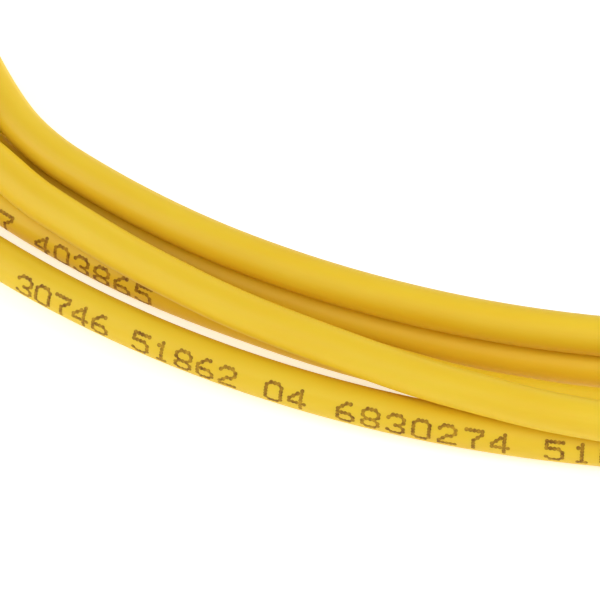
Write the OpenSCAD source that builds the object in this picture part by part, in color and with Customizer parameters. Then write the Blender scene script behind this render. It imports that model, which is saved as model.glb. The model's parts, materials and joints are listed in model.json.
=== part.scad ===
// Simplex fiber optic patch cord, wound in a flat coil, with a push-pull plug on each end.
// Millimetres, +Z up, origin on the surface that the cord rests on. The plugs lie to the right.

/* [Cable] */
// Outer diameter of the cable's jacket
jacket_d = 3; // [2.8:0.05:3.2]
// Diameter of the buffered fiber inside the cable
buffer_d = 0.9; // [0.6:0.05:0.95]

/* [Coil] */
// Radius of the outermost turn's centreline
outer_turn_r = 86.6; // [86:0.1:88]
// Gap between the outermost turn and the next one
outer_gap = 1.4; // [1:0.1:2]
// Gap between the other turns of a layer
turn_gap = 0.5; // [0.45:0.05:0.8]
// Gap between the two layers of turns
layer_gap = 0.45; // [0.42:0.01:0.8]
// Distance from the coil's middle to the flat side of the upper layer's inner turn
flat_side_r = 69.6; // [69:0.1:71]

/* [Bundle ties] */
// Width of a twist tie's ribbon
tie_w = 4; // [3:0.5:6]
// Thickness of a twist tie's ribbon
tie_t = 0.5; // [0.4:0.05:0.8]
// Length of a tie's twisted tail
tie_tail_len = 12; // [8:1:18]

/* [Plug grip] */
// Width of the grip, the plug's sliding outer housing
grip_w = 9; // [8.8:0.05:9.2]
// Height of the grip
grip_h = 7.4; // [7.2:0.05:7.8]
// Length of the grip
grip_len = 25; // [24:0.5:26]
// Travel of the grip on its plug frame
grip_travel = 2; // [1.5:0.1:2.2]
// Width of the key on top of the grip
key_w = 2.4; // [2:0.1:3]
// Height of the key above the grip
key_h = 0.8; // [0.5:0.1:1.2]
// Number of finger grooves
groove_count = 6; // [4:1:7]

/* [Plug frame] */
// Width of the plug frame
frame_w = 7; // [6.8:0.05:7.2]
// Height of the plug frame
frame_h = 5.6; // [5.5:0.05:5.8]
// Length of the plug frame
frame_len = 21; // [20.5:0.5:22]
// Bore of the frame behind its front web, for the flange and the spring
cavity_d = 4.3; // [4.2:0.05:4.4]
// Diameter of the mouth round the ferrule
mouth_d = 4.8; // [4.65:0.05:4.9]

/* [Ferrule] */
// Diameter of the ceramic ferrule
ferrule_d = 2.5; // [2.4:0.05:2.6]
// Length of the ferrule
ferrule_len = 10.5; // [10:0.1:11]
// How far the ferrule stands out of the plug frame
ferrule_out = 4.2; // [4:0.1:4.5]
// How far the ferrule is pushed back when two plugs meet
ferrule_travel = 1.5; // [1:0.1:1.6]
// Wire of the ferrule spring
spring_wire_d = 0.5; // [0.4:0.05:0.5]
// Number of curls of the ferrule spring
spring_curls = 5; // [4:1:7]

/* [Rear of the plug] */
// Length of the strain-relief boot
boot_len = 30; // [28:0.5:31]
// Diameter of the boot at the plug
boot_front_d = 5.6; // [5.5:0.05:5.65]
// Diameter of the boot at the cable
boot_rear_d = 4.8; // [4.6:0.1:5.2]
// Number of slots that let the boot bend
boot_slots = 7; // [6:1:10]
// Length of the crimp sleeve
sleeve_len = 11; // [10:0.5:12]
// Wall of the crimp sleeve
sleeve_wall = 0.5; // [0.4:0.05:0.5]
// Thickness of the yarn that the sleeve holds on the barrel
yarn_t = 0.25; // [0.15:0.05:0.3]

/* [Dust cap] */
// Diameter of the dust cap's head
cap_d = 5; // [4.8:0.1:5.6]
// Length of the dust cap's head
cap_head_len = 5; // [4.5:0.1:6]

/* [Hidden] */

yellow = "gold";
plug_blue = "royalblue";
metal = "silver";

// ---- clearances -------------------------------------------------------------------------------
run_fit = 0.05;       // round pieces that slide in one another, per side
slide_fit = 0.15;     // grip on the plug frame, per side
tie_gap = 0.1;        // between a tie and the cables that it holds
front_gap = 0.05;     // between the flange and the web that stops it
spring_gap = 0.02;    // between the spring's ends and what they press on

// ---- coil -------------------------------------------------------------------------------------
coil_mid = [-11.5, 0];                 // middle of the coil
front_at = 240;                        // angle at which the turns are counted
rings_per_turn = 24;
coil_sides = 6;
tail_sides = 8;
whole_turns = 5;                       // between the first turn and the last
coil_from = 112.5;                     // angle where the first turn starts
coil_to = 262.5 + whole_turns * 360;   // angle where the last turn ends
ring_step = 360 / rings_per_turn;
lead_slope = 0.15;                     // how fast the cable leaves the coil at its ends, mm a degree
lead_in_to = 155;                      // the first turn has come in by this angle
lead_out_from = 229 + whole_turns * 360;    // the last turn goes out from this angle
lead_soft = 4;
flat_at = 198 + 4 * 360;               // middle of the inner turn's flat side
flat_reach = 70;                       // the flat side is looked for this many degrees to each side
flat_soft = 1.6;
climb_from = 264 + 3 * 360;            // the fourth turn climbs to the upper layer
climb_over = 120;
lower_z = tie_t + tie_gap + jacket_d / 2;
layer_rise = jacket_d + layer_gap;

// Radii of the six turns at front_at: four spiral in on the lower layer, and two out on the upper
lower_turns = [outer_turn_r,
    outer_turn_r - (jacket_d + outer_gap),
    outer_turn_r - (jacket_d + outer_gap) - (jacket_d + turn_gap),
    outer_turn_r - (jacket_d + outer_gap) - 2 * (jacket_d + turn_gap)];
turn_r = concat(lower_turns, [lower_turns[3] + jacket_d, lower_turns[3] + 2 * jacket_d + turn_gap]);
// Angles past front_at between which each turn steps to the next
step_from = [35, 35, 35, 150, 35, 35];
step_to = [325, 325, 325, 325, 200, 325];

function ease(x) = let (u = min(1, max(0, x))) u * u * (3 - 2 * u);
function soft(x, s) = (x + sqrt(x * x + s * s)) / 2;
function round_r(t) = let (
    u = (t - front_at) / 360, k = floor(u), past = (u - k) * 360,
    i = min(max(k, 0), 5), j = min(max(k + 1, 0), 5))
    turn_r[i] + (turn_r[j] - turn_r[i]) * ease((past - step_from[i]) / (step_to[i] - step_from[i]));
function flat_cut(t) = abs(t - flat_at) < flat_reach
    ? soft(round_r(t) - flat_side_r / cos(t - flat_at), flat_soft) : 0;
function lead_in(t) = lead_slope * soft(lead_in_to - t, lead_soft);
function lead_out(t) = lead_slope * soft(t - lead_out_from, lead_soft);
function coil_r(t) = round_r(t) - flat_cut(t) + lead_in(t) + lead_out(t);
function coil_z(t) = lower_z + layer_rise * ease((t - climb_from) / climb_over);
function coil_at(t) = [coil_mid.x + coil_r(t) * cos(t), coil_mid.y + coil_r(t) * sin(t), coil_z(t)];

function unit(v) = v / norm(v);
turns_path = [for (t = [coil_from : ring_step : coil_to + 0.1]) coil_at(t)];
last = len(turns_path) - 1;
start_dir = unit(turns_path[1] - turns_path[0]);
end_dir = unit(turns_path[last] - turns_path[last - 1]);
coil_start = turns_path[0] - jacket_d * start_dir;
coil_end = turns_path[last] + jacket_d * end_dir;
coil_path = concat([coil_start], turns_path, [coil_end]);

// Least gap between turns, measured on points along the centreline
samples = 4;
gap_points = [for (i = [0 : last - 1], s = [0 : samples - 1])
    turns_path[i] + (turns_path[i + 1] - turns_path[i]) * s / samples];
half_turn = rings_per_turn * samples / 2;
least_gap = min([for (i = [0 : len(gap_points) - 1 - half_turn], j = [i + half_turn : len(gap_points) - 1])
    norm(gap_points[i] - gap_points[j])]) - jacket_d;
echo(least_gap_of_coil_mm = least_gap);

// ---- plugs ------------------------------------------------------------------------------------
// Each plug's frame of reference has X along the plug, with 0 at the boot's cable end
grip_z = grip_h / 2;                   // height of the plugs' axis, with the grips on the surface
boots_out = 55;                        // how far the boots start to the right of the coil's middle
boot_a_back = 79;                      // how far they start behind and in front of it
boot_b_front = 78.7;
plug_a_at = coil_mid + [boots_out, boot_a_back];
plug_a_turn = -33;
plug_b_at = coil_mid + [boots_out, -boot_b_front];
plug_b_turn = 24;
entry_len = 4;                         // straight stretch of cable before a boot

// The boot butts on the stop ring's shoulder, and the shoulder on the plug frame
shoulder_t = 2;
shoulder_d = 5.2;
frame_x = boot_len + shoulder_t;
frame_front = frame_x + frame_len;
front_step = 1.6;                      // how far the plug frame stands out of the grip
grip_front = frame_front - front_step;
grip_x = grip_front - grip_len;
edge = 0.45;                           // chamfer of the housings' long edges

mouth_depth = 2.6;
web_t = 1;
web_x = frame_front - mouth_depth - web_t;
ferrule_tip = frame_front + ferrule_out;
ferrule_x = ferrule_tip - ferrule_len;
flange_front = web_x - front_gap;
collar_len = 4.85;
stem_len = 3.5;
collar_x = flange_front - collar_len;
stem_x = collar_x - stem_len;
collar_d = cavity_d - 4 * run_fit;
spring_d = cavity_d - 8 * run_fit;
stem_d = spring_d - 2 * spring_wire_d - 4 * run_fit;
keyway_w = 1;
keyway_len = 1.6;
keyway_depth = 0.45;

ring_tube_len = 5;                     // part of the stop ring inside the plug frame
ring_tube_x = frame_x + ring_tube_len;
barrel_d = 3;
barrel_len = 6.5;
jacket_stop = boot_len - barrel_len;
passage_d = buffer_d + 1;              // bore of the stop ring
guide_wall = 0.3;
guide_gap = 0.6;                       // room for the stem behind its travel
guide_end = stem_x - ferrule_travel - guide_gap;
fiber_gap = 0.2;                       // the same for the ferrule and the fiber's end
fiber_end = ferrule_x - ferrule_travel - fiber_gap;
sleeve_on_jacket = 5;                  // how far the crimp sleeve reaches over the jacket
sleeve_x = jacket_stop - sleeve_on_jacket;
sleeve_front = sleeve_x + sleeve_len;
yarn_d = barrel_d + 2 * yarn_t;
sleeve_d = yarn_d + 2 * sleeve_wall;
rear_sleeve_bore = jacket_d + 2 * run_fit;
rear_sleeve_d = rear_sleeve_bore + 2 * sleeve_wall;

latch_len = 1.8;
latch_h = 0.5;
latch_back = 9;                        // from the frame's front back to a latch
latch_x = frame_front - latch_back;
latch_z = 2;                           // height of a latch
latch_gap = 0.4;                       // between a latch and the rear of its window
latch_room = 0.6;                      // the same at the front, with the grip pulled back
window_len = latch_gap + latch_len + grip_travel + latch_room;
window_h = 3.6;
key_len = 10.6;
key_back = 1.4;                        // how far the key stays back from the grip's front
groove_from = 2.2;
groove_pitch = 1.7;
groove_w = 0.8;
groove_d = 0.3;
groove_inset = 0.4;                    // how far a groove's ends stay from the chamfers

boot_collar = 4;                       // plain part of the boot at the plug
boot_flare_len = boot_len - boot_collar;
boot_lip = 0.3;
slot_margin = 1.5;
slot_w = 1.3;
slot_d = 0.45;
slot_pitch = (boot_flare_len - 2 * slot_margin - slot_w) / (boot_slots - 1);

cap_skirt_in = 0.5;                    // how far the cap's skirt reaches into the mouth
cap_room = 0.5;                        // between the cap's head and the frame, with the ferrule in
cap_wall = 0.85;
cap_bore_d = ferrule_d + 2 * run_fit;
cap_skirt_d = cap_bore_d + 2 * cap_wall;
cap_x = frame_front - cap_skirt_in;
cap_head_x = frame_front + ferrule_travel + cap_room;
cap_end = cap_head_x + cap_head_len;
cap_bore_end = ferrule_tip + 0.8;
cap_waist = 0.35;                      // depth of the waist behind the cap's rim

function heading(turn) = [cos(turn), sin(turn), 0];
function on_plug(at, turn, x) = [at.x, at.y, grip_z] + x * heading(turn);

// Hand-laid points of the two tails, from the coil to the plug, counted from the coil's middle
tail_a_points = [[-27, 90, 2.1], [-18.5, 92.7, 2.1], [-9.5, 94.7, 2.1], [-0.5, 95.7, 2.1], [9, 95.8, 2.2],
    [18, 94.9, 2.5], [27, 92.9, 2.9], [36, 89.8, 3.3], [43, 86.6, 3.6]];
tail_b_points = [[-1, -88.2, 5.5], [7, -89.1, 5.4], [15, -89.3, 5.2], [23, -88.8, 4.9], [30.5, -87.6, 4.5],
    [38, -85.7, 4.1], [44, -83.6, 3.8]];
function from_coil_mid(points) = [for (p = points) [coil_mid.x, coil_mid.y, 0] + p];
function tail_path(start, points, at, turn) = concat([start], from_coil_mid(points),
    [on_plug(at, turn, -entry_len), on_plug(at, turn, jacket_stop)]);
tail_a_path = tail_path(coil_start, tail_a_points, plug_a_at, plug_a_turn);
tail_b_path = tail_path(coil_end, tail_b_points, plug_b_at, plug_b_turn);

// Length of the cord from ferrule tip to ferrule tip
function sum(list) = list * [for (item = list) 1];
function run_len(path) = sum([for (i = [1 : len(path) - 1]) norm(path[i] - path[i - 1])]);
cord_len = run_len(tail_a_path) + run_len(coil_path) + run_len(tail_b_path) + 2 * (ferrule_tip - jacket_stop);
echo(cord_len_mm = cord_len);

// ---- a tube swept along points ----------------------------------------------------------------
// One polyhedron; first and last are the directions that its ends are square to
function ring(c, dir, r, sides) = let (side = unit(cross(dir, [0, 0, 1])), up = cross(side, dir))
    [for (k = [0 : sides - 1]) let (a = 360 * (k + 0.5) / sides) c + r * (side * cos(a) + up * sin(a))];

// Faces of a tube of n rings, with a wall between each two rings and a cap on each end
function tube_faces(n, sides) = let (far = (n - 1) * sides) concat(
    [for (i = [0 : n - 2], k = [0 : sides - 1])
        let (a = i * sides + k, b = i * sides + (k + 1) % sides)
        each [[a, a + sides, b], [b, a + sides, b + sides]]],
    [for (k = [1 : sides - 2]) each [[0, k, k + 1], [far, far + k + 1, far + k]]]);

module tube(path, r, sides, first, final) {
    n = len(path);
    dirs = [for (i = [0 : n - 1]) i == 0 ? first : i == n - 1 ? final
        : unit(unit(path[i] - path[i - 1]) + unit(path[i + 1] - path[i]))];
    polyhedron(points = [for (i = [0 : n - 1]) each ring(path[i], dirs[i], r, sides)],
        faces = tube_faces(n, sides));
}

// ---- cable ------------------------------------------------------------------------------------
module cable_coil() {
    color(yellow) tube(coil_path, jacket_d / 2, coil_sides, start_dir, end_dir);
}

module cable_tail_a() {
    color(yellow) tube(tail_a_path, jacket_d / 2, tail_sides, -start_dir, heading(plug_a_turn));
}

module cable_tail_b() {
    color(yellow) tube(tail_b_path, jacket_d / 2, tail_sides, end_dir, heading(plug_b_turn));
}

// ---- ties -------------------------------------------------------------------------------------
tie_tail_turn = 900;                   // how far the ends are twisted round each other, in degrees
tie_slices = 30;

// Where the turns pass an angle, counted in rings along them
function first_pass(at) = ((at - coil_from) % 360 + 360) % 360 / ring_step;
function passes(at) = [for (x = [first_pass(at) : rings_per_turn : last - 1]) x];
function at_ring(x) = let (i = floor(x)) turns_path[i] + (turns_path[i + 1] - turns_path[i]) * (x - i);

// Where they pass the edges of a tie's ribbon, and a bend between them, as [distance from the coil's
// middle, height]
function crossings(at) = [for (x = passes(at))
    let (half = tie_w / 2 / norm(at_ring(floor(x) + 1) - at_ring(floor(x))))
    each [for (y = [x - half, x + half, floor(x + half)]) if (y >= x - half) let (p = at_ring(y))
        [(p.x - coil_mid.x) * cos(at) + (p.y - coil_mid.y) * sin(at), p.z]]];

// The outline round the cables of a bundle, as far from them as out says
module bundle_outline(at, out) {
    hull() for (c = crossings(at)) translate(c) circle(r = jacket_d / 2 + out, $fn = 32);
}

module tie(at) {
    // the tail starts beside the cable that lies furthest in
    inner_r = min([for (c = crossings(at)) c.x]);
    tail_z = [for (c = crossings(at)) if (c.x == inner_r) c.y][0];
    tail_x = inner_r - jacket_d / 2 - tie_gap - tie_t / 2;
    color("white") translate([coil_mid.x, coil_mid.y, 0]) rotate([0, 0, at]) {
        rotate([90, 0, 0]) linear_extrude(tie_w, center = true) difference() {
            bundle_outline(at, tie_gap + tie_t);
            bundle_outline(at, tie_gap);
        }
        // the two ends, twisted together and laid inward
        translate([tail_x, 0, tail_z]) rotate([0, -90, 0])
            linear_extrude(tie_tail_len, twist = tie_tail_turn, slices = tie_slices)
            square([tie_w / 2, 2 * tie_t], center = true);
    }
}

module tie_left() { tie(180); }
module tie_right() { tie(0); }

// ---- plug pieces, along X in the plug's own frame ---------------------------------------------
module place(at, turn) {
    translate([at.x, at.y, grip_z]) rotate([0, 0, turn]) children();
}

module along_x(profile) {
    rotate([90, 0, 90]) rotate_extrude($fn = 48) polygon(profile);
}

// A round bar or hole on the plug's axis
module rod(x, len, d) {
    translate([x, 0, 0]) rotate([0, 90, 0]) cylinder(h = len, d = d, $fn = 40);
}

// A housing's block with chamfered long edges
module block(x, len, w, h) {
    y = w / 2;
    z = h / 2;
    translate([x, 0, 0]) rotate([90, 0, 90]) linear_extrude(len)
        polygon([[edge - y, -z], [y - edge, -z], [y, edge - z], [y, z - edge],
            [y - edge, z], [edge - y, z], [-y, z - edge], [-y, edge - z]]);
}

module boot() {
    function flare(x) = (boot_rear_d + (boot_front_d - boot_rear_d) * x / boot_flare_len) / 2;
    color(plug_blue) difference() {
        along_x([[0, 0], [flare(0) - boot_lip, 0], [flare(boot_lip), boot_lip],
            [boot_front_d / 2, boot_flare_len], [boot_front_d / 2, boot_len], [0, boot_len]]);
        // pairs of slots, each pair a quarter turn from the last
        for (i = [0 : boot_slots - 1], side = [0, 180]) let (x = slot_margin + i * slot_pitch)
            rotate([side + 90 * (i % 2), 0, 0]) translate([x, -boot_front_d, flare(x) - slot_d])
            cube([slot_w, 2 * boot_front_d, boot_front_d]);
        rod(-1, boot_len + 2, jacket_d + 4 * run_fit);
        rod(sleeve_x, boot_len, rear_sleeve_d);
        rod(jacket_stop, boot_len, sleeve_d);
    }
}

module crimp_sleeve() {
    color("goldenrod") difference() {
        union() {
            rod(sleeve_x, sleeve_on_jacket, rear_sleeve_d);
            rod(jacket_stop, sleeve_front - jacket_stop, sleeve_d);
        }
        rod(sleeve_x - 1, sleeve_len + 2, rear_sleeve_bore);
        rod(jacket_stop, sleeve_len, yarn_d);
    }
}

module aramid_yarn() {
    color("khaki") difference() {
        rod(jacket_stop, sleeve_front - jacket_stop, yarn_d);
        rod(jacket_stop - 1, sleeve_len + 2, barrel_d);
    }
}

module stop_ring() {
    color(metal) difference() {
        union() {
            rod(jacket_stop, barrel_len, barrel_d);
            rod(boot_len, shoulder_t, shoulder_d);
            rod(frame_x, ring_tube_len, cavity_d);
        }
        rod(jacket_stop - 1, ring_tube_x - jacket_stop + 2, passage_d);
    }
}

module guide_tube() {
    color("whitesmoke") difference() {
        rod(jacket_stop, guide_end - jacket_stop, passage_d);
        rod(jacket_stop - 1, guide_end - jacket_stop + 2, passage_d - 2 * guide_wall);
    }
}

module buffered_fiber() {
    color("ivory") rod(jacket_stop, fiber_end - jacket_stop, buffer_d);
}

module plug_frame() {
    color("white") difference() {
        union() {
            block(frame_x, frame_len, frame_w, frame_h);
            // the two latches, with a slope that faces the adapter
            for (side = [0, 1]) mirror([0, side, 0]) translate([latch_x, frame_w / 2, 0])
                linear_extrude(latch_z, center = true)
                polygon([[-latch_len / 2, -edge], [-latch_len / 2, latch_h], [0, latch_h],
                    [latch_len / 2, 0], [latch_len / 2, -edge]]);
        }
        rod(frame_x - 1, web_x - frame_x + 1, cavity_d);
        rod(web_x - 1, web_t + 2, ferrule_d + 6 * run_fit);
        rod(frame_front - mouth_depth, mouth_depth + 1, mouth_d);
    }
}

module grip() {
    inner_w = frame_w + 2 * slide_fit;
    inner_h = frame_h + 2 * slide_fit;
    key_root = 0.5;
    side_groove_h = grip_h - 2 * (edge + groove_inset);
    top_groove_w = grip_w - 2 * (edge + groove_inset);
    color(plug_blue) difference() {
        union() {
            block(grip_x, grip_len, grip_w, grip_h);
            translate([grip_front - key_back - key_len, -key_w / 2, grip_h / 2 - key_root])
                cube([key_len, key_w, key_h + key_root]);
        }
        translate([grip_x - 1, -inner_w / 2, -inner_h / 2]) cube([grip_len + 2, inner_w, inner_h]);
        // windows for the latches
        translate([latch_x - latch_len / 2 - latch_gap, -grip_w, -window_h / 2])
            cube([window_len, 2 * grip_w, window_h]);
        // grooves for the fingers, on both sides and on top
        for (i = [0 : groove_count - 1]) translate([grip_x + groove_from + i * groove_pitch, 0, 0]) {
            for (side = [-1, 1]) translate([0, side * grip_w / 2, 0])
                cube([groove_w, 2 * groove_d, side_groove_h], center = true);
            translate([0, 0, grip_h / 2]) cube([groove_w, top_groove_w, 2 * groove_d], center = true);
        }
    }
}

// The spring's centreline runs from the stop ring's tube to the flange's collar
spring_rings = 8;                      // rings in a curl
wire_sides = 6;
spring_x = ring_tube_x + spring_gap + spring_wire_d / 2;
spring_run = collar_x - ring_tube_x - 2 * spring_gap - spring_wire_d;
spring_r = (spring_d - spring_wire_d) / 2;
spring_steps = spring_curls * spring_rings;
function spring_at(i) = [spring_x + spring_run * i / spring_steps,
    spring_r * cos(i * 360 / spring_rings), spring_r * sin(i * 360 / spring_rings)];

module spring() {
    n = spring_steps + 1;
    pts = [for (i = [0 : n - 1])
        let (c = spring_at(i), out = unit([0, c.y, c.z]), run = unit(spring_at(i + 1) - spring_at(i - 1)),
            side = unit(cross(run, out)), up = cross(side, run))
        for (k = [0 : wire_sides - 1])
            c + spring_wire_d / 2 * (side * cos(360 * k / wire_sides) + up * sin(360 * k / wire_sides))];
    color(metal) polyhedron(points = pts, faces = tube_faces(n, wire_sides));
}

module ferrule_flange() {
    color(metal) difference() {
        union() {
            rod(collar_x, collar_len, collar_d);
            rod(stem_x, stem_len, stem_d);
        }
        rod(stem_x - 1, ferrule_x - stem_x + 1, buffer_d + 2 * run_fit);
        rod(ferrule_x, ferrule_len, ferrule_d);
        // keyways that hold the ferrule's turn
        for (turn = [0, 180]) rotate([turn, 0, 0])
            translate([flange_front - keyway_len, -keyway_w / 2, collar_d / 2 - keyway_depth])
            cube([keyway_len + 1, keyway_w, 2 * keyway_depth]);
    }
}

module ferrule() {
    cone_len = 0.5;
    cone_in = 0.35;
    dome = 0.05;
    r = ferrule_d / 2;
    color("white") along_x([[0, ferrule_x], [r, ferrule_x], [r, ferrule_tip - cone_len],
        [r - cone_in, ferrule_tip - dome], [0, ferrule_tip]]);
}

module dust_cap() {
    rim_len = 1;
    nose_len = 1.2;
    skirt_r = cap_skirt_d / 2;
    head_r = cap_d / 2;
    waist_r = head_r - cap_waist;
    color("azure") difference() {
        along_x([[0, cap_x], [skirt_r, cap_x], [skirt_r, cap_head_x], [head_r, cap_head_x],
            [head_r, cap_head_x + rim_len], [waist_r, cap_head_x + rim_len + cap_waist],
            [waist_r, cap_end - nose_len], [waist_r - nose_len, cap_end], [0, cap_end]]);
        rod(cap_x - 1, cap_bore_end - cap_x + 1, cap_bore_d);
    }
}

// ---- the two plugs ----------------------------------------------------------------------------
module at_a() { place(plug_a_at, plug_a_turn) children(); }
module at_b() { place(plug_b_at, plug_b_turn) children(); }

cable_coil();
cable_tail_a();
cable_tail_b();
tie_left();
tie_right();

at_a() boot();  // boot_a
at_a() crimp_sleeve();  // crimp_sleeve_a
at_a() aramid_yarn();  // aramid_yarn_a
at_a() stop_ring();  // stop_ring_a
at_a() guide_tube();  // guide_tube_a
at_a() buffered_fiber();  // buffered_fiber_a
at_a() plug_frame();  // plug_frame_a
at_a() grip();  // grip_a
at_a() spring();  // spring_a
at_a() ferrule_flange();  // ferrule_flange_a
at_a() ferrule();  // ferrule_a
at_a() dust_cap();  // dust_cap_a

at_b() boot();  // boot_b
at_b() crimp_sleeve();  // crimp_sleeve_b
at_b() aramid_yarn();  // aramid_yarn_b
at_b() stop_ring();  // stop_ring_b
at_b() guide_tube();  // guide_tube_b
at_b() buffered_fiber();  // buffered_fiber_b
at_b() plug_frame();  // plug_frame_b
at_b() grip();  // grip_b
at_b() spring();  // spring_b
at_b() ferrule_flange();  // ferrule_flange_b
at_b() ferrule();  // ferrule_b
at_b() dust_cap();  // dust_cap_b
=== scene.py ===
"""Dresses the packed fiber optic patch cord: a yellow cord in a flat coil, two ties and two plugs.

Metres, +Z up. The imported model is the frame, and every piece here lies where it says.
"""

import json
import logging
import math
from abc import ABC, abstractmethod
from bisect import bisect_right
from collections.abc import Iterable, Sequence
from dataclasses import dataclass, field
from enum import Enum
from typing import Any

import bmesh
import bpy
from bpy.types import Material, Mesh, Node, NodeSocket, Object, World
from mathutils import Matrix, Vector
from mathutils.geometry import convex_hull_2d


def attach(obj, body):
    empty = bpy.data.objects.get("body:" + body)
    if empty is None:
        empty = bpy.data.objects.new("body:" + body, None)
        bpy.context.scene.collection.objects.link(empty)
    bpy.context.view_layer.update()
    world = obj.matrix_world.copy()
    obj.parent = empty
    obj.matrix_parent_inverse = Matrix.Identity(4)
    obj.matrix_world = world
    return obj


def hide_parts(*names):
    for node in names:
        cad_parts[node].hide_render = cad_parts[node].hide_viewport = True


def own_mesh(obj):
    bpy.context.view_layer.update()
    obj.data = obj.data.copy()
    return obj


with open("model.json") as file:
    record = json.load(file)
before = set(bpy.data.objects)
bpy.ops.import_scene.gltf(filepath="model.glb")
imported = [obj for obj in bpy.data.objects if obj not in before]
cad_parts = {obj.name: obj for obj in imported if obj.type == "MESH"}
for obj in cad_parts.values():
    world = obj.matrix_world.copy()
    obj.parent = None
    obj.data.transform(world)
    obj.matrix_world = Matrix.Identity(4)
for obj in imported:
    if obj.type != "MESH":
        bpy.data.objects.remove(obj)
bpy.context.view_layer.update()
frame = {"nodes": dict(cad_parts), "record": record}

LOG = logging.getLogger("patch_cord")
MM = 0.001
TURN = 360.0
UP = Vector((0.0, 0.0, 1.0))
ROOT_BODY = "cord"

Triple = tuple[float, float, float]
Colour = Triple
Face = tuple[int, ...]
Dot = tuple[int, int]

WHITE: Colour = (1.0, 1.0, 1.0)


class End(Enum):
    """The two ends of the cord, each with a plug."""

    A = "a"
    B = "b"


class PlugPart(Enum):
    """The kinds of pieces in a plug, as their nodes name them."""

    BOOT = "boot"
    GRIP = "grip"
    PLUG_FRAME = "plug_frame"
    DUST_CAP = "dust_cap"
    GUIDE_TUBE = "guide_tube"
    FERRULE = "ferrule"
    BUFFERED_FIBER = "buffered_fiber"
    STOP_RING = "stop_ring"
    FERRULE_FLANGE = "ferrule_flange"
    SPRING = "spring"
    CRIMP_SLEEVE = "crimp_sleeve"
    ARAMID_YARN = "aramid_yarn"


class Reading(Enum):
    """What a finish's waves are counted by, as the coordinates' outputs are named."""

    METRES = "Object"
    LENGTH_AND_GIRTH = "UV"


def ease(x: float) -> float:
    """Goes from 0 to 1 with no slope at either end.

    Args:
        x: where along the step; it is held between 0 and 1.

    Returns:
        The eased value.
    """
    u = min(1.0, max(0.0, x))
    return u * u * (3.0 - 2.0 * u)


def soft(x: float, spread: float) -> float:
    """A ramp with a rounded corner at 0.

    Args:
        x: the value, 0 at the corner.
        spread: how wide the corner is rounded.

    Returns:
        About 0 below the corner and about x above it.
    """
    return (x + math.sqrt(x * x + spread * spread)) / 2.0


def level(degrees: float) -> Vector:
    """The level direction at an angle from +X, in degrees."""
    a = math.radians(degrees)
    return Vector((math.cos(a), math.sin(a), 0.0))


def around(side: Vector, up: Vector, angle: float) -> Vector:
    """The direction at an angle from side towards up, in radians."""
    return side * math.cos(angle) + up * math.sin(angle)


def linear(red: int, green: int, blue: int) -> Colour:
    """Turns a screen colour into the linear one that a shader takes.

    Args:
        red: 0 to 255.
        green: 0 to 255.
        blue: 0 to 255.

    Returns:
        The linear colour.
    """

    def channel(value: int) -> float:
        """One channel of it, by the screen's standard curve."""
        c = value / 255.0
        return c / 12.92 if c <= 0.04045 else ((c + 0.055) / 1.055) ** 2.4

    return (channel(red), channel(green), channel(blue))


def shaded(colour: Colour, share: float) -> Colour:
    """A linear colour at a share of its light."""
    return (colour[0] * share, colour[1] * share, colour[2] * share)


# ---- finishes ---------------------------------------------------------------------------------


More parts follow.
